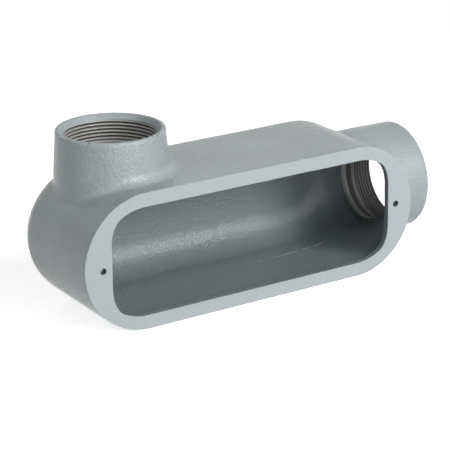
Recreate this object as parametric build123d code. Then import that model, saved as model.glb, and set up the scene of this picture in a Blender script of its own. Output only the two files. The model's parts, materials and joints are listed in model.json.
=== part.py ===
from build123d import *
import os

# Conduit body for 2 inch threaded conduit, one iron casting, in millimetres.
# A long trough with round ends lies on its side. Its open face looks towards -Y and takes a cover,
# a side hub rises along +Z near the left end, and a straight hub leaves along +X at the right end.
# The origin is the middle of the cover face, halfway between the two cover screw holes.

# Trough, outside
face_length = 236.0
face_height = 85.0
body_depth = 86.5
back_edge_radius = 17.0

# Trough, inside
wall = 4.5
floor_radius = 19.0
flange_thickness = 4.0

# Opening in the cover face
side_land = 8.5
end_land = 18.0
opening_arc_shift = 1.0
opening_corner_radius = 7.0

# Cover screw holes, tapped through the flange between the opening and the end of the face
screw_inset = 6.0
screw_hole_radius = 2.1
screw_hole_depth = 8.0

# Way through both hubs: a bore at the root of its pipe thread, the throat of an integral bushing that
# guards the wires, and a cored way behind it that is a little wider than the throat
thread_root_radius = 30.1
thread_length = 18.0
lead_in = 0.6
throat_step = 4.1
throat_length = 6.0
core_relief = 1.5

# Outside of both hubs
hub_root_wall = 5.2
hub_back_inset = 0.8
hub_rim_chamfer = 1.6
hub_blend_radius = 6.0

# Side hub, with the depth below its rim at which the thread starts
side_hub_inset = 47.4
side_hub_projection = 26.1
side_hub_rim_wall = 3.2
side_hub_thread_start = 3.6

# Straight hub, with the depth below its rim at which the thread starts
straight_hub_projection = 26.5
straight_hub_rim_wall = 4.8
straight_hub_thread_start = 1.2

# Distance under which a point counts as lying on a line or a face
tolerance = 0.01

# Sizes that follow from the ones above
end_radius = face_height / 2
end_centre = (face_length - face_height) / 2
cavity_length = face_length - 2 * wall
cavity_height = face_height - 2 * wall
cavity_depth = body_depth - wall
opening_length = face_length - 2 * end_land
opening_height = face_height - 2 * side_land
opening_arc_spacing = face_length - face_height + 2 * opening_arc_shift
screw_spacing = opening_length + 2 * screw_inset

hub_root_radius = thread_root_radius + hub_root_wall
throat_radius = thread_root_radius - throat_step
core_radius = throat_radius + core_relief
hub_axis_depth = body_depth - hub_back_inset - hub_root_radius
side_hub_offset = face_length / 2 - side_hub_inset
side_hub_height = end_radius + side_hub_projection
side_hub_rim_radius = thread_root_radius + side_hub_rim_wall
straight_hub_reach = face_length / 2 + straight_hub_projection
straight_hub_rim_radius = thread_root_radius + straight_hub_rim_wall

side_hub_frame = Plane((-side_hub_offset, hub_axis_depth, 0), x_dir=(1, 0, 0), z_dir=(0, 0, 1))
straight_hub_frame = Plane((0, hub_axis_depth, 0), x_dir=(0, 0, 1), z_dir=(1, 0, 0))


def prism_behind_face(outline, start, end):
    """Solid with the given outline, from one distance behind the cover face to another."""
    return extrude(Plane.XZ.offset(-start) * outline, amount=start - end)


def turned(*section):
    """Solid turned about Z from the corners (radius, height) of its section."""
    return revolve(make_face(Plane.XZ * Polyline(*section, close=True)), Axis.Z)


def lies_on(edge, skin):
    """Whether the middle of an edge touches a skin."""
    return skin.distance_to(edge.position_at(0.5)) < tolerance


def blended_union(base, addition, radius):
    """Union of two solids, with the seam where their skins meet rounded off."""
    joined = base + addition
    skins = (base.shell(), addition.shell())
    seam = [edge for edge in joined.edges() if all(lies_on(edge, skin) for skin in skins)]
    return fillet(seam, radius)


def trough():
    """Outside of the trough, with its back edge rounded all the way round."""
    block = prism_behind_face(SlotOverall(face_length, face_height), 0, body_depth)
    return fillet(block.faces().sort_by(Axis.Y)[-1].edges(), back_edge_radius)


def cavity():
    """Cored inside of the trough behind the flange, with a deep rounded floor."""
    core = prism_behind_face(SlotOverall(cavity_length, cavity_height), flange_thickness, cavity_depth)
    return fillet(core.faces().sort_by(Axis.Y)[-1].edges(), floor_radius)


def opening():
    """Oblong opening whose round ends are cut short to leave a land for each cover screw."""
    oblong = SlotCenterToCenter(opening_arc_spacing, opening_height)
    cut_short = oblong & Rectangle(opening_length, opening_height)
    corner_line = opening_length / 2 - tolerance
    end_corners = cut_short.vertices().filter_by(lambda corner: abs(corner.X) > corner_line)
    return prism_behind_face(fillet(end_corners, opening_corner_radius), 0, flange_thickness)


def screw_hole(side):
    """Tapped hole through the flange at one end of the face."""
    outline = Pos(side * screw_spacing / 2, 0) * Circle(screw_hole_radius)
    return prism_behind_face(outline, 0, screw_hole_depth)


def hub_blank(root_start, root_end, rim_height, rim_radius):
    """Solid hub about Z: a straight root, a drafted barrel and a chamfered rim."""
    return turned(
        (0, root_start),
        (hub_root_radius, root_start),
        (hub_root_radius, root_end),
        (rim_radius, rim_height - hub_rim_chamfer),
        (rim_radius - hub_rim_chamfer, rim_height),
        (0, rim_height),
    )


def hub_way(core_start, rim_height, thread_start):
    """Way through a hub about Z: cored way, cone into the throat, throat, bore and lead-in."""
    thread_end = rim_height - thread_start - thread_length
    throat_end = thread_end - throat_length
    return turned(
        (0, core_start),
        (core_radius, core_start),
        (core_radius, throat_end),
        (throat_radius, throat_end + core_relief),
        (throat_radius, thread_end),
        (thread_root_radius, thread_end),
        (thread_root_radius, rim_height - lead_in),
        (thread_root_radius + lead_in, rim_height),
        (0, rim_height),
    )


def outside():
    """Trough with both hubs blended into it."""
    side_hub = hub_blank(0, end_radius, side_hub_height, side_hub_rim_radius)
    straight_hub = hub_blank(end_centre, face_length / 2, straight_hub_reach, straight_hub_rim_radius)
    with_side_hub = blended_union(trough(), side_hub_frame * side_hub, hub_blend_radius)
    return blended_union(with_side_hub, straight_hub_frame * straight_hub, hub_blend_radius)


def casting():
    """The whole casting: its outside, less the cavity, the opening, the hub ways and the screw holes."""
    side_way = hub_way(0, side_hub_height, side_hub_thread_start)
    straight_way = hub_way(end_centre, straight_hub_reach, straight_hub_thread_start)
    solid = outside() - cavity() - opening()
    solid -= side_hub_frame * side_way
    solid -= straight_hub_frame * straight_way
    for side in (-1, 1):
        solid -= screw_hole(side)
    return solid


os.makedirs("parts", exist_ok=True)
export_step(casting(), "parts/conduit_body.step")
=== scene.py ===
"""Looks of a cast iron conduit body: grey enamel over a sand casting, with two cut pipe threads.

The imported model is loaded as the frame, and gives the sizes that the casting shares with it. The casting is
meshed from a distance field, so that its seams, rims and edges are as soft as cast ones. The threads are made
by Geometry Nodes. Everything is in metres.
"""

import json
import math

import bpy
import numpy as np
from mathutils import Matrix, Vector


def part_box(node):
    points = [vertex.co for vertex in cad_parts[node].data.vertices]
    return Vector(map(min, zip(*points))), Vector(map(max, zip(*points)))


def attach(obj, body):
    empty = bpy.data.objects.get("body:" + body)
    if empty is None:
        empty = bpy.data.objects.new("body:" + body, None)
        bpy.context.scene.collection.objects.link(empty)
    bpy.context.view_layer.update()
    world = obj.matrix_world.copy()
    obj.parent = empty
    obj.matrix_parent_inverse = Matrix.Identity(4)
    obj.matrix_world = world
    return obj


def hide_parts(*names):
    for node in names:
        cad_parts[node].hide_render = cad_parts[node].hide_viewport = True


bl_info = {
    "name": "Conduit body",
    "version": (1, 0, 0),
    "blender": (4, 5, 0),
    "location": "3D View > Sidebar > Conduit body",
    "description": "Builds a cast conduit body with two threaded hubs around its packed model",
    "category": "Object",
}

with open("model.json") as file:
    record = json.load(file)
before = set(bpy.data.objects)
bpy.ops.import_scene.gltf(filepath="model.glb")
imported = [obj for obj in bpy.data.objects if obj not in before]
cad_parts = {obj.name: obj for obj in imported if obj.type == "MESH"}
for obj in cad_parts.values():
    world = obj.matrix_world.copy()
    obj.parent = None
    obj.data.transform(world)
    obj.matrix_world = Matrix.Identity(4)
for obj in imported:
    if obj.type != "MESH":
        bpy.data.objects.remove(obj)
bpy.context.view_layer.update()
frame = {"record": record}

MM = 0.001
NODE = "conduit_body"
BODY = "root"

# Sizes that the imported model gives
low_corner, high_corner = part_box(NODE)
mounts = {mount["name"]: mount for mount in frame["record"]["mounts"]}
side_thread = mounts["side_hub_thread"]
straight_thread = mounts["straight_hub_thread"]
cover_screws = mounts["cover_screws"]

END_RADIUS = -low_corner.z
END_CENTRE = -low_corner.x - END_RADIUS
BODY_DEPTH = high_corner.y
SIDE_RIM = high_corner.z
STRAIGHT_RIM = high_corner.x
SIDE_HUB_X = side_thread["pos_m"][0]
HUB_Y = side_thread["pos_m"][1]
THREAD_ROOT = side_thread["dims"]["r_mm"] * MM
SIDE_THREAD_END = side_thread["pos_m"][2] - side_thread["dims"]["length_mm"] * MM / 2
STRAIGHT_THREAD_END = straight_thread["pos_m"][0] - straight_thread["dims"]["length_mm"] * MM / 2
SCREW_X = cover_screws["dims"]["spacing_x_mm"] * MM / 2
SCREW_RADIUS = cover_screws["dims"]["hole_r_mm"] * MM

# Where the core's parting left a thin line on the cavity's floor: along X, at this distance behind the face
PARTING_START = 0.031
PARTING_END = 0.088
PARTING_FADE = 0.004
PARTING_DEPTH = 0.0465
PARTING_SLOPE = 0.072

# Angle between two faces from which the edge between them is sharp
SHARP_ANGLE = math.radians(38)

LAMP_DISTANCE = 2.4

# Distances from the origin between which the paper turns plain white
PAPER_NEAR = 0.35
PAPER_FAR = 0.8

# Tones of the paper: what it throws back at the casting, and what the camera sees
PAPER_THROWN = (0.5, 0.5, 0.5, 1)
PAPER_SEEN = (0.8, 0.8, 0.8, 1)


def length(name, description, default):
    """Property for a length in metres."""
    return bpy.props.FloatProperty(
        name=name, description=description, default=default, unit="LENGTH", precision=5
    )


def angle(name, description, degrees):
    """Property for an angle, with its default in degrees."""
    return bpy.props.FloatProperty(
        name=name, description=description, default=math.radians(degrees), subtype="ANGLE", unit="ROTATION"
    )


def colour(name, description, default):
    """Property for a linear colour."""
    return bpy.props.FloatVectorProperty(
        name=name, description=description, default=default, size=3, subtype="COLOR", min=0, max=1
    )


def factor(name, description, default):
    """Property for a number from 0 to 1."""
    return bpy.props.FloatProperty(
        name=name, description=description, default=default, min=0, max=1, subtype="FACTOR"
    )


def power(name, description, default):
    """Property for the power of a lamp in watts."""
    return bpy.props.FloatProperty(name=name, description=description, default=default, min=0, unit="POWER")


class CastingSettings(bpy.types.PropertyGroup):
    """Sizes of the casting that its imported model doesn't state."""

    wall: length("Wall", "Thickness of the trough's wall", 0.0045)
    back_edge: length("Back edge", "Radius of the trough's back edge", 0.017)
    floor_radius: length("Floor radius", "Radius inside the trough, between wall and back", 0.019)
    flange: length("Flange", "Thickness of the flange round the opening", 0.004)
    side_land: length("Side land", "Width of the cover face beside the opening", 0.0085)
    end_land: length("End land", "Width of the cover face at the ends of the opening", 0.018)
    arc_shift: length("Arc shift", "How far the opening's arcs stand out from the trough's", 0.001)
    corner: length("Corner", "Radius where the opening's ends meet its arcs", 0.007)
    screw_depth: length("Screw depth", "Depth of the cover screw holes", 0.008)
    root_wall: length("Root wall", "Wall of a hub at its root", 0.0052)
    side_rim_wall: length("Side rim wall", "Wall of the side hub at its rim", 0.0032)
    straight_rim_wall: length("Straight rim wall", "Wall of the straight hub at its rim", 0.0048)
    rim_radius: length("Rim radius", "Rounding outside a hub's rim", 0.0011)
    blend: length("Blend", "Radius of the seams between hubs and trough", 0.006)
    inner_blend: length("Inner blend", "Radius of the seams between cavity and hub ways", 0.019)
    throat_step: length("Throat step", "How far a throat is narrower than the root of its thread", 0.0041)
    throat: length("Throat", "Length of the throat behind a thread", 0.006)
    core_relief: length("Core relief", "How far the way behind a throat is wider than the throat", 0.0015)
    throat_ease: length("Throat ease", "Length of the rounding where the way narrows to the throat", 0.0035)
    bore_relief: length("Bore relief", "How far a lining's bore is wider than its thread's root", 0.0011)
    run_out: length("Run-out", "How far the cut of a thread runs into its throat", 0.0033)
    edge: length("Edge", "Width of the softened edges", 0.0005)
    waviness: length("Waviness", "Height of the slow waves in the cast skin", 0.00012)
    cell: length("Cell", "Size of the mesh's faces", 0.00152)
    fine_cell: length("Fine cell", "Size of the mesh's faces at rims and screw holes", 0.0006)


class ThreadSettings(bpy.types.PropertyGroup):
    """Sizes of the cut threads."""

    pitch: length("Pitch", "Pitch of the pipe threads", 0.002209)
    depth: length("Depth", "Depth of the pipe threads", 0.00177)
    taper: factor("Taper", "How fast the pipe threads narrow, on the radius", 0.03125)
    flat: factor("Flat", "Share of the pitch that is flat at crest and root", 0.06)
    fade: length("Fade", "Length over which a thread runs out at its inner end", 0.005)
    plain_end: length("Plain end", "Length of the bore past the thread's inner end", 0.005)
    lip: length("Lip", "How far the lining spreads over a hub's rim, from the thread's root", 0.0020)
    mouth: length("Mouth", "How far the countersink's mouth lies outside the thread's root", 0.0008)
    lift: length("Lift", "How far the lip lies above the rim", 0.00006)
    side_start: length("Side start", "Depth of the side hub's countersink", 0.0036)
    straight_start: length("Straight start", "Depth of the straight hub's countersink", 0.0012)
    columns: bpy.props.IntProperty(
        name="Columns", description="Faces round a hub's thread", default=192, min=12
    )
    row: length("Row", "Height of the faces along a thread", 0.00018)


class FinishSettings(bpy.types.PropertyGroup):
    """Colours and textures of the casting."""

    paint: colour("Paint", "Grey enamel", (0.303, 0.348, 0.356))
    paint_deep: colour("Deep paint", "Grey enamel where it lies thicker", (0.282, 0.323, 0.331))
    # The cover face's enamel is lighter: partly its smoother ground finish, partly painted light where the
    # face turns to the lamps
    face_paint_and_light: colour("Face paint", "Grey enamel on the ground cover face", (0.360, 0.403, 0.415))
    # Painted shade: the enamel inside the hollow is darker where less light reaches
    shaded_inner_paint: colour("Inner paint", "Thinner enamel inside", (0.192, 0.222, 0.232))
    # Painted highlight: the throats' enamel is lightened where their rounded edges catch the light
    throat_highlight_paint: colour("Throat paint", "Enamel of the throats, rubbed by wires", (0.34, 0.37, 0.375))
    worn_paint: colour("Worn paint", "Enamel rubbed light on the core's parting line", (0.58, 0.62, 0.62))
    thread: colour("Thread", "Bare metal of the side hub's thread", (0.39, 0.385, 0.37))
    # Painted shade: the straight hub's thread, deep in its hub, gets a darker copy of the bare metal
    shaded_thread: colour("Oily thread", "Darker, oilier metal of the straight hub's thread", (0.15, 0.15, 0.15))
    # Painted shade: the threads' grooves and the plain bore past them are darkened with this colour
    groove: colour("Groove", "Oil and dirt in the grooves of the threads", (0.045, 0.044, 0.041))
    grain_height: length("Grain height", "Height of the sand grain under the enamel", 0.0010)


class StageSettings(bpy.types.PropertyGroup):
    """Camera, lamps, sky and floor."""

    azimuth: angle("Azimuth", "Turn of the camera about Z", -32.0682)
    elevation: angle("Elevation", "Height of the camera as an angle", 19.619)
    roll: angle("Roll", "Turn of the camera about its own axis", -0.9157)
    distance: length("Distance", "Distance of the camera from the origin, along its view", 1.1513)
    aside: length("Aside", "How far the origin lies right of the view's middle", 0.01902)
    above: length("Above", "How far the origin lies above the view's middle", -0.00684)
    lens: bpy.props.FloatProperty(
        name="Lens", description="Focal length in millimetres", default=151.55, unit="CAMERA"
    )
    front_power: power("Front power", "Power of the low lamp in front of the cover face", 19)
    key_power: power("Key power", "Power of the low lamp at the right of the camera", 38)
    high_power: power("High power", "Power of the small high lamp at the right", 13)
    fill_power: power("Fill power", "Power of the lamp at the left of the camera", 15)
    back_power: power("Back power", "Power of the lamp behind", 6)
    sky: factor("Sky", "Strength of the light all round", 0.03)
    floor_glow: factor("Floor glow", "Light that the floor adds where the camera sees it", 0.71)


class Field:
    """Distance fields of the casting's forms: negative inside, positive outside, on points in rows."""

    # The skin's waves: how close they follow, how far each is ahead of the last, and the share of the wall's
    # thickness below a rim that stays free of them
    WAVE_RATE = 2.2
    WAVE_LEAD = 1.7
    CALM_SHARE = 0.2

    def __init__(self, sizes):
        self.sizes = sizes
        self.root_radius = THREAD_ROOT + sizes.root_wall
        self.throat_radius = THREAD_ROOT - sizes.throat_step

    @staticmethod
    def rounded_both(a, b, radius):
        """Where both forms are, with the corner between them rounded."""
        corner = np.hypot(np.maximum(a + radius, 0), np.maximum(b + radius, 0))
        return np.minimum(np.maximum(a, b), -radius) + corner

    @staticmethod
    def rolled_either(a, b, cosine, radius):
        """Where either form is, with the seam filled as if by a ball that touches both."""
        over_a = radius - a
        over_b = radius - b
        sine_squared = np.maximum(1 - cosine**2, 1e-6)
        squared = over_a**2 + over_b**2 - 2 * cosine * over_a * over_b
        to_centre = np.sqrt(np.maximum(squared / sine_squared, 0))
        in_seam = (over_a > cosine * over_b) & (over_b > cosine * over_a)
        return np.where(in_seam, radius - to_centre, np.minimum(a, b))

    @staticmethod
    def slot(points, centre, radius):
        """Distance to a long round-ended outline that is seen along Y."""
        beyond = np.maximum(np.abs(points[:, 0]) - centre, 0)
        return np.hypot(beyond, points[:, 2]) - radius

    def trough(self, points):
        """Outside of the trough, without its cover face."""
        outline = self.slot(points, END_CENTRE, END_RADIUS)
        return self.rounded_both(outline, points[:, 1] - BODY_DEPTH, self.sizes.back_edge)

    def cavity(self, points):
        """Inside of the trough, behind the flange."""
        wall = self.sizes.wall
        outline = self.slot(points, END_CENTRE, END_RADIUS - wall)
        back = points[:, 1] - (BODY_DEPTH - wall)
        hollow = self.rounded_both(outline, back, self.sizes.floor_radius)
        return np.maximum(hollow, self.sizes.flange - points[:, 1])

    def opening(self, points):
        """Opening through the flange."""
        half_length = END_CENTRE + END_RADIUS - self.sizes.end_land
        outline = self.slot(points, END_CENTRE + self.sizes.arc_shift, END_RADIUS - self.sizes.side_land)
        shortened = self.rounded_both(outline, np.abs(points[:, 0]) - half_length, self.sizes.corner)
        return np.maximum(shortened, points[:, 1] - self.sizes.flange - self.sizes.wall)

    def screw_holes(self, points):
        """Both cover screw holes."""
        across = np.hypot(np.abs(points[:, 0]) - SCREW_X, points[:, 2]) - SCREW_RADIUS
        return np.maximum(across, points[:, 1] - self.sizes.screw_depth)

    def blended(self, points, base, hub_form, hub, radius):
        """Union of the trough, or of its cavity, with a hub's form, blended along their seam."""
        outward, across = hub.outward(points)
        step = radius * 0.01
        slope = (base(points + outward * step) - base(points - outward * step)) / (2 * step)
        return self.rolled_either(base(points), hub_form(self, points, across), slope, radius)

    def outside(self, points):
        """Outside of the trough and both hubs."""
        blend = self.sizes.blend
        return np.minimum(*(self.blended(points, self.trough, hub.barrel, hub, blend) for hub in HUBS))

    def hollow(self, points):
        """Everything that is taken out of the outside."""
        blend = self.sizes.inner_blend
        parts = [self.blended(points, self.cavity, hub.way, hub, blend) for hub in HUBS]
        parts.extend(hub.bore(self, points) for hub in HUBS)
        parts.append(self.opening(points))
        parts.append(self.screw_holes(points))
        return np.minimum.reduce(parts)

    def waves(self, points):
        """Slow waves of a cast skin, the same on every run, which end below the machined rims."""
        directions = np.array([(71, 23, 41), (-37, 83, 29), (53, -47, 97), (-131, 61, 17), (29, 113, -89)])
        phases = np.arange(len(directions)) * self.WAVE_LEAD
        height = np.sin(points @ (directions * self.WAVE_RATE).T + phases).mean(axis=1) * self.sizes.waviness
        for hub in HUBS:
            below_rim = (hub.rim - points[:, hub.along]) / self.sizes.wall
            height *= np.clip(below_rim - self.CALM_SHARE, 0, 1)
        return height

    def casting(self, points):
        """The whole casting, with its cover face ground flat."""
        skin = np.maximum(self.outside(points), -self.hollow(points)) + self.waves(points)
        return np.maximum(skin, -points[:, 1])


class Hub:
    """Where a hub lies: its axis, its rim and where its thread ends."""

    def __init__(self, along, centre, start, root_end, rim, thread_end, rim_wall):
        self.along = along
        self.centre = centre
        self.start = start
        self.root_end = root_end
        self.rim = rim
        self.thread_end = thread_end
        self.rim_wall = rim_wall

    def outward(self, points):
        """Unit vectors away from the axis, and distances from it."""
        offset = points - np.array(self.centre)
        offset[:, self.along] = 0
        across = np.linalg.norm(offset, axis=1)
        return offset / np.maximum(across, 1e-9)[:, None], across

    def barrel(self, field, points, across):
        """Distance to the outside of the hub: a straight root, a drafted barrel and a rounded rim."""
        height = points[:, self.along]
        rim_radius = THREAD_ROOT + getattr(field.sizes, self.rim_wall)
        draft = (field.root_radius - rim_radius) / (self.rim - self.root_end)
        radius = field.root_radius - draft * np.maximum(height - self.root_end, 0)
        side = field.rounded_both(across - radius, height - self.rim, field.sizes.rim_radius)
        return np.maximum(side, self.start - height)

    def way(self, field, points, across):
        """Distance to the way from the cavity to the thread, which a rounding narrows to the throat."""
        height = points[:, self.along]
        relief, ease = field.sizes.core_relief, field.sizes.throat_ease
        ease_radius = (ease**2 + relief**2) / (2 * relief)
        ease_end = self.thread_end - field.sizes.throat - relief / 2
        into = np.clip(ease_end - height, 0, ease)
        radius = field.throat_radius + ease_radius - np.sqrt(ease_radius**2 - into**2)
        return np.maximum(across - radius, np.maximum(height - self.thread_end, self.start - height))

    def bore(self, field, points):
        """Distance to the plain bore that the thread's lining sits in."""
        across = self.outward(points)[1]
        shoulder = self.thread_end - field.sizes.run_out
        return np.maximum(across - THREAD_ROOT - field.sizes.bore_relief, shoulder - points[:, self.along])


SIDE_HUB = Hub(2, (SIDE_HUB_X, HUB_Y, 0), 0, END_RADIUS, SIDE_RIM, SIDE_THREAD_END, "side_rim_wall")
STRAIGHT_HUB = Hub(
    0,
    (0, HUB_Y, 0),
    END_CENTRE,
    END_CENTRE + END_RADIUS,
    STRAIGHT_RIM,
    STRAIGHT_THREAD_END,
    "straight_rim_wall",
)
HUBS = (SIDE_HUB, STRAIGHT_HUB)


class FieldMesher:
    """Mesh of four-sided faces on the zero level of a field, by dual contouring on an uneven grid.

    Each grid cell that the surface crosses gets one point, where the tangent planes of the crossings on its
    edges meet, so flat faces stay flat and sharp edges stay sharp.
    """

    # How often the search for a crossing halves its range, and the share of the strongest direction's pull
    # below which a direction doesn't move a cell's point
    HALVINGS = 12
    WEAK_SHARE = 0.08

    def __init__(self, field, axes):
        self.field = field
        self.axes = axes
        self.counts = [len(axis) - 1 for axis in axes]

    def slope(self, points, step=1e-5):
        """Direction in which the field grows."""
        columns = []
        for axis in range(3):
            shift = np.zeros(3)
            shift[axis] = step
            columns.append(self.field(points + shift) - self.field(points - shift))
        gradient = np.stack(columns, axis=1)
        return gradient / np.maximum(np.linalg.norm(gradient, axis=1), 1e-12)[:, None]

    def samples(self):
        """The field at every grid corner, one slab at a time."""
        xs, ys, zs = self.axes
        across = np.stack(np.meshgrid(ys, zs, indexing="ij"), axis=-1).reshape(-1, 2)
        slabs = []
        for x in xs:
            points = np.column_stack((np.full(len(across), x), across))
            slabs.append(self.field(points).reshape(len(ys), len(zs)))
        return np.stack(slabs)

    def crossing_points(self, starts, ends, start_values, end_values):
        """Where the field is zero between pairs of points, by halving."""
        inside = start_values < 0
        low = np.where(inside[:, None], starts, ends)
        high = np.where(inside[:, None], ends, starts)
        for _ in range(self.HALVINGS):
            middle = (low + high) / 2
            is_inside = (self.field(middle) < 0)[:, None]
            low = np.where(is_inside, middle, low)
            high = np.where(is_inside, high, middle)
        return (low + high) / 2

    def mesh(self):
        """(points, faces) of the surface."""
        values = self.samples()
        cell_ids, crossing_rows, slope_rows, faces = [], [], [], []
        strides = (self.counts[1] * self.counts[2], self.counts[2], 1)
        for along in range(3):
            others = [axis for axis in range(3) if axis != along]
            lower = np.take(values, range(values.shape[along] - 1), axis=along)
            upper = np.take(values, range(1, values.shape[along]), axis=along)
            index = np.argwhere((lower < 0) != (upper < 0))
            at_grid_edge = np.zeros(len(index), bool)
            for axis in others:
                at_grid_edge |= (index[:, axis] == 0) | (index[:, axis] == self.counts[axis])
            index = index[~at_grid_edge]
            first, second = lower[tuple(index.T)], upper[tuple(index.T)]
            start = np.stack([self.axes[axis][index[:, axis]] for axis in range(3)], axis=1)
            end = start.copy()
            end[:, along] = self.axes[along][index[:, along] + 1]
            crossing = self.crossing_points(start, end, first, second)
            slope = self.slope(crossing)
            ring = []
            for back_first, back_second in ((1, 1), (0, 1), (0, 0), (1, 0)):
                cell = index.copy()
                cell[:, others[0]] -= back_first
                cell[:, others[1]] -= back_second
                ring.append(cell @ np.array(strides))
            cell_ids.extend(ring)
            crossing_rows.extend([crossing] * 4)
            slope_rows.extend([slope] * 4)
            face = np.stack(ring, axis=1)
            outward_is_up = (first < 0) == (along != 1)
            faces.append(np.where(outward_is_up[:, None], face, face[:, ::-1]))
        ids, members = np.unique(np.concatenate(cell_ids), return_inverse=True)
        points = self.cell_points(ids, members, np.concatenate(crossing_rows), np.concatenate(slope_rows))
        return points, np.searchsorted(ids, np.concatenate(faces))

    def cell_points(self, ids, members, crossings, slopes):
        """The point of each cell: the best meeting place of its tangent planes, kept inside the cell."""
        count = len(ids)
        weight = np.bincount(members, minlength=count)
        centre = np.stack([np.bincount(members, crossings[:, i], count) for i in range(3)], axis=1)
        centre /= weight[:, None]
        heights = ((crossings - centre[members]) * slopes).sum(axis=1)
        square = np.zeros((count, 3, 3))
        pull = np.zeros((count, 3))
        for i in range(3):
            pull[:, i] = np.bincount(members, slopes[:, i] * heights, count)
            for j in range(3):
                square[:, i, j] = np.bincount(members, slopes[:, i] * slopes[:, j], count)
        strengths, directions = np.linalg.eigh(square)
        weak = strengths < self.WEAK_SHARE * strengths[:, 2:]
        inverse = np.where(weak, 0, 1 / np.where(weak, 1, strengths))
        along = np.einsum("nij,ni->nj", directions, pull) * inverse
        points = centre + np.einsum("nij,nj->ni", directions, along)
        cell = np.stack(np.unravel_index(ids, self.counts), axis=1)
        lowest = np.stack([self.axes[i][cell[:, i]] for i in range(3)], axis=1)
        highest = np.stack([self.axes[i][cell[:, i] + 1] for i in range(3)], axis=1)
        return np.clip(points, lowest, highest)


def spaced(low, high, cell, fine_cell, fine_zones):
    """Positions from low to high, a cell apart, or a fine cell apart inside the fine zones."""
    positions = [low]
    while positions[-1] < high:
        here = positions[-1]
        is_fine = any(start <= here < end for start, end in fine_zones)
        positions.append(here + (fine_cell if is_fine else cell))
    return np.array(positions)


def casting_mesh(sizes):
    """Mesh of the casting, finer at the rims and the screw holes."""
    margin = sizes.cell
    screw_zone = SCREW_RADIUS * 1.3
    rim_zone = sizes.rim_radius * 1.6
    fine_x = [(side * SCREW_X - screw_zone, side * SCREW_X + screw_zone) for side in (-1, 1)]
    fine_x.append((STRAIGHT_RIM - rim_zone, STRAIGHT_RIM + margin))
    fine_z = [(-screw_zone, screw_zone), (SIDE_RIM - rim_zone, SIDE_RIM + margin)]
    zones = (fine_x, [], fine_z)
    axes = [
        spaced(low_corner[i] - margin, high_corner[i] + margin, sizes.cell, sizes.fine_cell, zones[i])
        for i in range(3)
    ]
    field = Field(sizes)
    points, faces = FieldMesher(field.casting, axes).mesh()
    mesh = bpy.data.meshes.new("casting")
    mesh.from_pydata(points.tolist(), [], faces.tolist())
    mesh.polygons.foreach_set("use_smooth", np.ones(len(mesh.polygons), bool))
    is_inner = np.abs(field.hollow(points)) < np.abs(field.outside(points))
    inner = mesh.attributes.new("inner", "FLOAT", "POINT")
    inner.data.foreach_set("value", is_inner.astype(np.float32))
    mesh.update()
    return mesh


def mark_face_edges(mesh, depth):
    """Gives a bevel weight to the sharp edges that lie within a depth of the cover face."""
    is_sharp = np.zeros(len(mesh.edges), bool)
    mesh.attributes["sharp_edge"].data.foreach_get("value", is_sharp)
    ends = np.zeros(len(mesh.edges) * 2, np.int32)
    mesh.edges.foreach_get("vertices", ends)
    places = np.zeros(len(mesh.vertices) * 3, np.float32)
    mesh.vertices.foreach_get("co", places)
    farthest = places.reshape(-1, 3)[ends, 1].reshape(-1, 2).max(axis=1)
    weight = mesh.attributes.new("bevel_weight_edge", "FLOAT", "EDGE")
    weight.data.foreach_set("value", (is_sharp & (farthest < depth)).astype(np.float32))


class Value:
    """A socket of a node tree. Arithmetic on it adds Math nodes."""

    def __init__(self, nodes, socket):
        self.nodes = nodes
        self.socket = socket

    def math(self, operation, *operands):
        """A Math node on the operands, with this value first unless it is among them."""
        inputs = operands if self in operands else (self, *operands)
        return self.nodes.add("ShaderNodeMath", {"operation": operation}, dict(enumerate(inputs)))

    def __add__(self, other):
        return self.math("ADD", other)

    def __radd__(self, other):
        return self.math("ADD", other)

    def __sub__(self, other):
        return self.math("SUBTRACT", other)

    def __rsub__(self, other):
        return self.math("SUBTRACT", other, self)

    def __mul__(self, other):
        return self.math("MULTIPLY", other)

    def __rmul__(self, other):
        return self.math("MULTIPLY", other)

    def __truediv__(self, other):
        return self.math("DIVIDE", other)

    def __neg__(self):
        return self.math("MULTIPLY", -1.0)

    def __abs__(self):
        return self.math("ABSOLUTE")

    def at_least(self, other):
        """The larger of both."""
        return self.math("MAXIMUM", other)

    def at_most(self, other):
        """The smaller of both."""
        return self.math("MINIMUM", other)

    def clamped(self):
        """This value, kept between 0 and 1."""
        return self.at_least(0.0).at_most(1.0)

    def ramp(self, start, end):
        """0 before start and 1 past end, smooth between, also where end is the lower."""
        settings = {"interpolation_type": "SMOOTHSTEP"}
        low, high, first, last = (start, end, 0.0, 1.0) if start < end else (end, start, 1.0, 0.0)
        inputs = {0: self, 1: low, 2: high, 3: first, 4: last}
        return self.nodes.add("ShaderNodeMapRange", settings, inputs)


class Nodes:
    """A node tree, with one method that adds any node."""

    def __init__(self, tree):
        self.tree = tree

    def add(self, kind, settings=None, inputs=None, output=0):
        """A node of this kind: its settings first, then the values or links of its sockets."""
        node = self.tree.nodes.new(kind)
        for name, setting in (settings or {}).items():
            setattr(node, name, setting)
        for key, given in (inputs or {}).items():
            for one in given if isinstance(given, list) else [given]:
                if isinstance(one, Value):
                    self.tree.links.new(one.socket, node.inputs[key])
                else:
                    node.inputs[key].default_value = one
        return Value(self, node.outputs[output]) if node.outputs else node

    def output(self, value, name):
        """Another output of the node that a value comes from."""
        return Value(self, value.socket.node.outputs[name])

    def mixed(self, mask, first, second):
        """The first colour where the mask is 0, the second where it is 1."""
        settings = {"data_type": "RGBA", "clamp_factor": True}
        return self.add("ShaderNodeMix", settings, {0: mask, 6: first, 7: second}, output=2)


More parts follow.
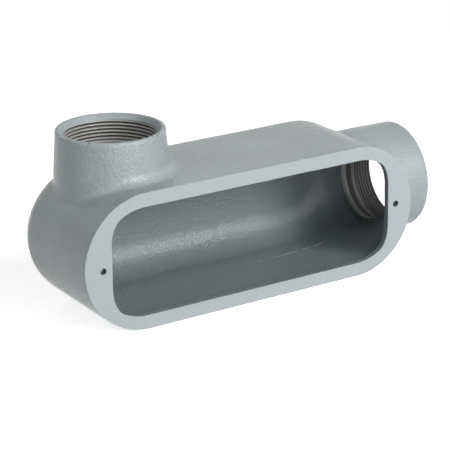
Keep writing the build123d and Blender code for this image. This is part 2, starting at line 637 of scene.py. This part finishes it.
class Material(Nodes):
    """A material's node tree, with the textures that its finishes share."""

    def __init__(self, name):
        self.material = bpy.data.materials.new(name)
        self.material.use_nodes = True
        super().__init__(self.material.node_tree)
        self.tree.nodes.clear()
        self.place = self.add("ShaderNodeTexCoord", output="Object")
        self.x, self.y, self.z = (
            self.add("ShaderNodeSeparateXYZ", inputs={0: self.place}, output=axis) for axis in "XYZ"
        )

    def noise(self, size, detail=2.0, rough=0.5):
        """Noise from about 0 to 1 whose blots are about this many metres across."""
        inputs = {"Vector": self.place, "Scale": 1 / size, "Detail": detail, "Roughness": rough}
        return self.add("ShaderNodeTexNoise", inputs=inputs)

    def attribute(self, name):
        """A value kept on the mesh's points."""
        settings = {"attribute_type": "GEOMETRY", "attribute_name": name}
        return self.add("ShaderNodeAttribute", settings, output="Fac")

    def bump(self, height, distance):
        """Normal from a height, in metres per unit of height."""
        return self.add("ShaderNodeBump", inputs={"Distance": distance, "Height": height})

    def finish(self, sockets):
        """Ends the tree with a Principled shader."""
        shader = self.add("ShaderNodeBsdfPrincipled", inputs=sockets)
        self.add("ShaderNodeOutputMaterial", inputs={"Surface": shader})
        return self.material


def opaque(colour_property):
    """A colour property with an alpha of 1."""
    return (*colour_property, 1.0)


def parting_line(material):
    """Mask of the thin broken line that the core's parting left on the cavity's floor."""
    middle = (material.x - PARTING_START) * PARTING_SLOPE + PARTING_DEPTH
    wobble = (material.noise(0.009) - 0.5) * 0.0014
    near = abs(material.y - middle + wobble).ramp(0.0005, 0.0002)
    started = material.x.ramp(PARTING_START, PARTING_START + PARTING_FADE)
    not_ended = material.x.ramp(PARTING_END, PARTING_END - PARTING_FADE)
    run = started * not_ended
    low = material.z.ramp(-0.030, -0.034)
    broken = material.noise(0.006, detail=3.0).ramp(0.36, 0.5)
    return near * run * low * broken


def throats(material, sizes):
    """Mask of both throats, from where the ways have narrowed, where the enamel gets a painted highlight."""
    along_x = STRAIGHT_THREAD_END - sizes.throat
    along_z = SIDE_THREAD_END - sizes.throat
    in_straight = material.x.ramp(along_x - sizes.core_relief, along_x - sizes.core_relief / 2)
    in_side = material.z.ramp(along_z - sizes.core_relief, along_z - sizes.core_relief / 2)
    return in_straight.at_least(in_side)


def enamel_look(material, finish, sizes):
    """Sockets of the grey enamel, with the sand grain of the casting under it, painted shade inside and
    painted light on the throats and cover face.
    """
    grain = material.noise(0.0013, detail=3.0, rough=0.6)
    peel = material.noise(0.0028, detail=1.5)
    blots = material.noise(0.007)
    drift = material.noise(0.035, detail=3.0)
    cast = material.y.ramp(0.0002, 0.0006)
    inner = material.attribute("inner")
    line = parting_line(material) * inner
    height = (grain * 0.5 + peel * 0.4 + blots * 0.2 + line * 0.3) * (cast * 0.88 + 0.12)
    paint = material.mixed(drift.ramp(0.35, 0.65), opaque(finish.paint_deep), opaque(finish.paint))
    # Painted highlight lightens the throats within the shaded inner enamel
    inside = material.mixed(throats(material, sizes), opaque(finish.shaded_inner_paint), opaque(finish.throat_highlight_paint))
    # Painted shade darkens the enamel on the inner surfaces
    paint = material.mixed(inner, paint, inside)
    # Lighter enamel on the cover face: its smoother finish, with painted light
    paint = material.mixed(cast, opaque(finish.face_paint_and_light), paint)
    return {
        "Base Color": material.mixed(line, paint, opaque(finish.worn_paint)),
        "Roughness": 0.16 + blots * 0.08,
        "Normal": material.bump(height, finish.grain_height),
    }


def enamel(finish, sizes):
    """Grey enamel over the sand casting."""
    material = Material("grey_enamel")
    return material.finish(enamel_look(material, finish, sizes))


def cut_metal(name, bare, finish):
    """Lining of a hub's bore: painted mouth, bare cut threads, painted shade in the grooves and past the
    thread.
    """
    material = Material(name)
    fray = material.noise(0.0015, detail=3.0) * 0.5 - 0.25
    paint = (material.attribute("painted") + fray).ramp(0.4, 0.6)
    patchiness = material.noise(0.006, detail=3.0)
    # Painted shade in the grooves and past the thread's end, broken up by patchy noise
    shade = material.attribute("groove").ramp(0.2, 0.9) * (0.75 + patchiness * 0.5).clamped()
    metal = material.mixed(shade, opaque(bare), opaque(finish.groove))
    return material.finish(
        {
            "Base Color": material.mixed(paint, metal, opaque(finish.paint)),
            "Metallic": (1 - paint) * 0.15,
            "Roughness": shade * 0.5 + 0.35,
            "Specular IOR Level": 0.25,
            "Normal": material.bump(material.noise(0.0011) * 0.15, finish.grain_height),
        }
    )


class TappedLining(Nodes):
    """Geometry Nodes for the lining of a tapped bore: a lip over its rim, a countersink and a thread.

    The middle of the rim is the origin, and the bore runs along -Z.
    """

    SIZES = (
        "Lip Radius",
        "Mouth Radius",
        "Countersink Depth",
        "Thread End",
        "Wall Radius",
        "Crest Radius",
        "Thread Depth",
        "Taper",
        "Pitch",
        "Flat",
        "Fade",
        "Plain End",
    )
    # Share of the lining's length within which a point belongs to its first or last row
    EDGE_ROW = 0.001
    # Share of the countersink's depth at which the groove starts, and how fast it grows from there
    GROOVE_START = 0.9
    GROOVE_GROWTH = 8
    # How dark the painted shade is on the bore past the thread's inner end, from 0 to 1
    END_SHADE = 0.8
    # Amount of paint at the rim, which is down to a half where the countersink ends
    RIM_PAINT = 1.5

    def __init__(self):
        super().__init__(bpy.data.node_groups.new("Tapped lining", "GeometryNodeTree"))
        self.identifiers = {}
        for name in self.SIZES:
            self.declare(name, "NodeSocketFloat")
        for name in ("Columns", "Rows"):
            self.declare(name, "NodeSocketInt")
        self.declare("Material", "NodeSocketMaterial")
        self.tree.interface.new_socket("Geometry", in_out="OUTPUT", socket_type="NodeSocketGeometry")
        self.given = self.add("NodeGroupInput")
        self.build()

    def declare(self, name, kind):
        """Adds a named input."""
        socket = self.tree.interface.new_socket(name, in_out="INPUT", socket_type=kind)
        self.identifiers[name] = socket.identifier

    def input(self, name):
        """One of the named inputs."""
        return self.output(self.given, name)

    def sheet(self, rows):
        """Flat grid one unit wide and high, and where its points lie from 0 to 1 both ways."""
        inputs = {0: 1.0, 1: 1.0, 2: self.input("Columns") + 1, 3: rows}
        grid = self.add("GeometryNodeMeshGrid", inputs=inputs)
        position = self.add("GeometryNodeInputPosition")
        turn, run = (self.add("ShaderNodeSeparateXYZ", inputs={0: position}, output=i) + 0.5 for i in (0, 1))
        return grid, turn, run

    def rolled_up(self, mesh, turn, radius, depth):
        """The mesh with its points set on circles round the axis."""
        across = turn * math.tau
        place = {0: radius * across.math("COSINE"), 1: radius * across.math("SINE"), 2: -depth}
        position = self.add("ShaderNodeCombineXYZ", inputs=place)
        return self.add("GeometryNodeSetPosition", inputs={"Geometry": mesh, "Position": position})

    def stored(self, mesh, name, value):
        """The mesh with a value kept on its points, for its material."""
        settings = {"data_type": "FLOAT", "domain": "POINT"}
        inputs = {"Geometry": mesh, "Name": name, "Value": value}
        return self.add("GeometryNodeStoreNamedAttribute", settings, inputs)

    def shaded(self, mesh, is_smooth):
        """The mesh with smooth or flat shading."""
        return self.add("GeometryNodeSetShadeSmooth", inputs={"Geometry": mesh, "Shade Smooth": is_smooth})

    def build(self):
        """Adds the nodes."""
        lip, mouth, wall = self.input("Lip Radius"), self.input("Mouth Radius"), self.input("Wall Radius")
        crest, countersink = self.input("Crest Radius"), self.input("Countersink Depth")
        end, flat = self.input("Thread End"), self.input("Flat")

        rows = self.input("Rows")
        mesh, turn, run = self.sheet(rows)
        depth = ((run * (rows - 1) - 1) / (rows - 2)).at_least(0) * end
        cone = mouth - depth * (mouth - crest) / countersink
        ridge = abs((depth / self.input("Pitch") + turn).math("FRACT") - 0.5) * 2
        started = ((depth / countersink - self.GROOVE_START) * self.GROOVE_GROWTH).clamped()
        running_out = ((end - self.input("Plain End") - depth) / self.input("Fade")).clamped()
        groove = ((ridge - flat) / (1 - 2 * flat)).clamped() * started * running_out
        root_depth = self.input("Thread Depth") - (depth - countersink) * self.input("Taper")
        radius = (crest + groove * root_depth).at_least(cone)
        at_start = run.math("LESS_THAN", self.EDGE_ROW)
        at_end = run.math("GREATER_THAN", 1 - self.EDGE_ROW)
        radius = radius * (1 - at_start - at_end) + lip * at_start + wall * at_end
        # The groove mask, which the material turns into painted shade, also covers the plain bore past the
        # thread
        lining = self.stored(mesh, "groove", groove.at_least(self.END_SHADE - running_out))
        lining = self.stored(lining, "painted", self.RIM_PAINT - depth / countersink)
        lining = self.shaded(self.rolled_up(lining, turn, radius, depth), True)

        mesh, turn, run = self.sheet(2)
        back = self.rolled_up(mesh, turn, wall + (lip - wall) * run, end * (1 - run))

        joined = self.add("GeometryNodeJoinGeometry", inputs={0: [self.shaded(back, False), lining]})
        merged = self.add("GeometryNodeMergeByDistance", inputs={"Geometry": joined, "Distance": 1e-6})
        real = self.add("GeometryNodeRealizeInstances", inputs={"Geometry": merged})
        inputs = {"Geometry": real, "Material": self.input("Material")}
        clad = self.add("GeometryNodeSetMaterial", inputs=inputs)
        self.add("NodeGroupOutput", inputs={"Geometry": clad})

    def lining(self, name, values, centre, direction):
        """Object with the lining of a bore, given the middle of its rim and its way out."""
        made = bpy.data.objects.new(name, bpy.data.meshes.new(name))
        bpy.context.collection.objects.link(made)
        modifier = made.modifiers.new(name, "NODES")
        modifier.node_group = self.tree
        for key, value in values.items():
            modifier[self.identifiers[key]] = value
        graph = bpy.context.evaluated_depsgraph_get()
        mesh = bpy.data.meshes.new_from_object(made.evaluated_get(graph), depsgraph=graph)
        made.modifiers.remove(modifier)
        turn = Vector(direction).to_track_quat("Z", "Y").to_matrix().to_4x4()
        mesh.transform(Matrix.Translation(centre) @ turn)
        mesh.name = name
        made.data = mesh
        return made


def direction_at(azimuth, elevation):
    """Unit vector at an elevation, turned from -Y by an azimuth."""
    level = Vector((math.sin(azimuth), -math.cos(azimuth), 0))
    return level * math.cos(elevation) + Vector((0, 0, math.sin(elevation)))


def lamp(name, azimuth, elevation, size, watts):
    """Square soft lamp that looks at the middle of the casting."""
    data = bpy.data.lights.new(name, "AREA")
    data.shape = "SQUARE"
    data.size = size
    data.energy = watts
    direction = direction_at(azimuth, math.radians(elevation))
    made = bpy.data.objects.new(name, data)
    made.location = (low_corner + high_corner) / 2 + direction * LAMP_DISTANCE
    made.rotation_mode = "QUATERNION"
    made.rotation_quaternion = direction.to_track_quat("Z", "Y")
    bpy.context.collection.objects.link(made)


def photo_camera(stage):
    """Camera at the photograph's viewing angle."""
    back = direction_at(stage.azimuth, stage.elevation)
    level_right = Vector((math.cos(stage.azimuth), math.sin(stage.azimuth), 0))
    level_up = back.cross(level_right)
    right = level_right * math.cos(stage.roll) + level_up * math.sin(stage.roll)
    up = level_up * math.cos(stage.roll) - level_right * math.sin(stage.roll)
    data = bpy.data.cameras.new("camera")
    data.lens = stage.lens
    data.clip_start = 0.01
    data.clip_end = 100
    camera = bpy.data.objects.new("camera", data)
    bpy.context.collection.objects.link(camera)
    place = back * stage.distance - right * stage.aside - up * stage.above
    axes = Matrix((right, up, back)).transposed().to_4x4()
    camera.matrix_world = Matrix.Translation(place) @ axes
    bpy.context.scene.camera = camera


def seen_directly(nodes):
    """1 for rays that show a surface as such, straight, mirrored or through glass."""
    rays = nodes.add("ShaderNodeLightPath", output="Is Camera Ray")
    mirrored = rays.at_least(nodes.output(rays, "Is Glossy Ray"))
    return mirrored.at_least(nodes.output(rays, "Is Transmission Ray"))


def paper(stage):
    """White paper that shows the shadows near the casting, and is plain white farther off."""
    material = Material("white_paper")
    away = (material.x * material.x + material.y * material.y).math("SQRT")
    seen = seen_directly(material)
    tone = material.mixed(seen, PAPER_THROWN, PAPER_SEEN)
    lit = material.add("ShaderNodeBsdfDiffuse", inputs={"Color": tone})
    glow = material.add("ShaderNodeEmission", inputs={"Strength": seen * stage.floor_glow})
    both = material.add("ShaderNodeAddShader", inputs={0: lit, 1: glow})
    white = material.add("ShaderNodeEmission", inputs={"Strength": 1.0})
    far = away.ramp(PAPER_NEAR, PAPER_FAR) * seen
    whole = material.add("ShaderNodeMixShader", inputs={0: far, 1: both, 2: white})
    material.add("ShaderNodeOutputMaterial", inputs={"Surface": whole})
    return material.material


class CastingOperator(bpy.types.Operator):
    """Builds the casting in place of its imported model."""

    bl_idname = "object.conduit_casting"
    bl_label = "Casting"

    def execute(self, context):
        sizes, finish = context.scene.casting_settings, context.scene.finish_settings
        mesh = casting_mesh(sizes)
        mesh.materials.append(enamel(finish, sizes))
        mesh.set_sharp_from_angle(angle=SHARP_ANGLE)
        mark_face_edges(mesh, sizes.flange / 2)
        casting = bpy.data.objects.new("casting", mesh)
        context.collection.objects.link(casting)
        bevel = casting.modifiers.new("edges", "BEVEL")
        bevel.width = sizes.edge
        bevel.segments = 2
        bevel.limit_method = "WEIGHT"
        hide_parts(NODE)
        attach(casting, BODY)
        return {"FINISHED"}


class ThreadsOperator(bpy.types.Operator):
    """Builds the threaded linings of both hubs."""

    bl_idname = "object.conduit_threads"
    bl_label = "Hub threads"

    def execute(self, context):
        scene = context.scene
        sizes, threads, finish = scene.casting_settings, scene.thread_settings, scene.finish_settings
        tree = TappedLining()
        bore = THREAD_ROOT + sizes.bore_relief
        shared = {
            "Wall Radius": bore + threads.lip / 4,
            "Crest Radius": THREAD_ROOT - threads.depth,
            "Thread Depth": threads.depth,
            "Taper": threads.taper,
            "Pitch": threads.pitch,
            "Flat": threads.flat,
            "Fade": threads.fade,
            "Plain End": threads.plain_end,
            "Columns": threads.columns,
        }
        bright = cut_metal("cut_thread", finish.thread, finish)
        # A darker copy of the thread metal for the straight hub, as painted shade
        shaded_metal = cut_metal("oily_thread", finish.shaded_thread, finish)
        rims = (
            ("side_hub_thread", SIDE_HUB, (0, 0, 1), threads.side_start, bright),
            ("straight_hub_thread", STRAIGHT_HUB, (1, 0, 0), threads.straight_start, shaded_metal),
        )
        for name, hub, direction, start, metal in rims:
            depth = hub.rim - hub.thread_end + sizes.run_out
            centre = Vector(hub.centre) + Vector(direction) * (hub.rim + threads.lift)
            values = {
                **shared,
                "Lip Radius": THREAD_ROOT + threads.lip,
                "Mouth Radius": THREAD_ROOT + threads.mouth,
                "Countersink Depth": start,
                "Thread End": depth,
                "Rows": round(depth / threads.row),
                "Material": metal,
            }
            lining = tree.lining(name, values, centre, direction)
            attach(lining, BODY)
        return {"FINISHED"}


class StageOperator(bpy.types.Operator):
    """Sets up the camera, the lamps and the floor."""

    bl_idname = "scene.conduit_stage"
    bl_label = "Stage"

    def execute(self, context):
        stage = context.scene.stage_settings
        photo_camera(stage)
        self.lamps(stage)
        self.floor(context, stage)
        self.sky(context, stage)
        context.scene.view_settings.view_transform = "Standard"
        return {"FINISHED"}

    def lamps(self, stage):
        """Soft lamps, each turned from the camera by an angle, at an elevation and with a size."""
        lamps = (
            ("front_lamp", 32, 20, 1.2, stage.front_power),
            ("key_lamp", 53, 22, 0.8, stage.key_power),
            ("high_lamp", 62, 46, 0.4, stage.high_power),
            ("fill_lamp", -50, 33, 1.2, stage.fill_power),
            ("back_lamp", -150, 35, 1.2, stage.back_power),
        )
        for name, turn, elevation, size, watts in lamps:
            lamp(name, stage.azimuth + math.radians(turn), elevation, size, watts)

    def floor(self, context, stage):
        """Large floor just under the casting."""
        reach, height = 30, low_corner.z - 0.0002
        corners = [(x * reach, y * reach, height) for x, y in ((-1, -1), (1, -1), (1, 1), (-1, 1))]
        mesh = bpy.data.meshes.new("floor")
        mesh.from_pydata(corners, [], [(0, 1, 2, 3)])
        mesh.materials.append(paper(stage))
        floor = bpy.data.objects.new("floor", mesh)
        context.collection.objects.link(floor)

    def sky(self, context, stage):
        """Even light all round, which looks white where it is seen."""
        world = bpy.data.worlds.new("sky")
        world.use_nodes = True
        world.node_tree.nodes.clear()
        nodes = Nodes(world.node_tree)
        strength = seen_directly(nodes) * (1 - stage.sky) + stage.sky
        light = nodes.add("ShaderNodeBackground", inputs={"Color": (1, 1, 1, 1), "Strength": strength})
        nodes.add("ShaderNodeOutputWorld", inputs={"Surface": light})
        context.scene.world = world


class ConduitBodyPanel(bpy.types.Panel):
    """Lists the builders of the conduit body and their settings."""

    bl_idname = "VIEW3D_PT_conduit_body"
    bl_label = "Conduit body"
    bl_space_type = "VIEW_3D"
    bl_region_type = "UI"
    bl_category = "Conduit body"

    def draw(self, context):
        for operator in OPERATORS:
            self.layout.operator(operator.bl_idname)
        for name in SETTINGS:
            group = getattr(context.scene, name)
            box = self.layout.box()
            for key in group.bl_rna.properties.keys():
                if key not in ("rna_type", "name"):
                    box.prop(group, key)


SETTINGS = {
    "casting_settings": CastingSettings,
    "thread_settings": ThreadSettings,
    "finish_settings": FinishSettings,
    "stage_settings": StageSettings,
}
OPERATORS = (CastingOperator, ThreadsOperator, StageOperator)


def register():
    """Adds the settings, the operators and the panel to Blender."""
    for name, group in SETTINGS.items():
        bpy.utils.register_class(group)
        setattr(bpy.types.Scene, name, bpy.props.PointerProperty(type=group))
    for operator in OPERATORS:
        bpy.utils.register_class(operator)
    bpy.utils.register_class(ConduitBodyPanel)


def unregister():
    """Takes them out again."""
    bpy.utils.unregister_class(ConduitBodyPanel)
    for operator in reversed(OPERATORS):
        bpy.utils.unregister_class(operator)
    for name, group in SETTINGS.items():
        delattr(bpy.types.Scene, name)
        bpy.utils.unregister_class(group)


def main():
    """Builds everything."""
    register()
    bpy.ops.object.conduit_casting()
    bpy.ops.object.conduit_threads()
    bpy.ops.scene.conduit_stage()


if __name__ == "__main__":
    main()
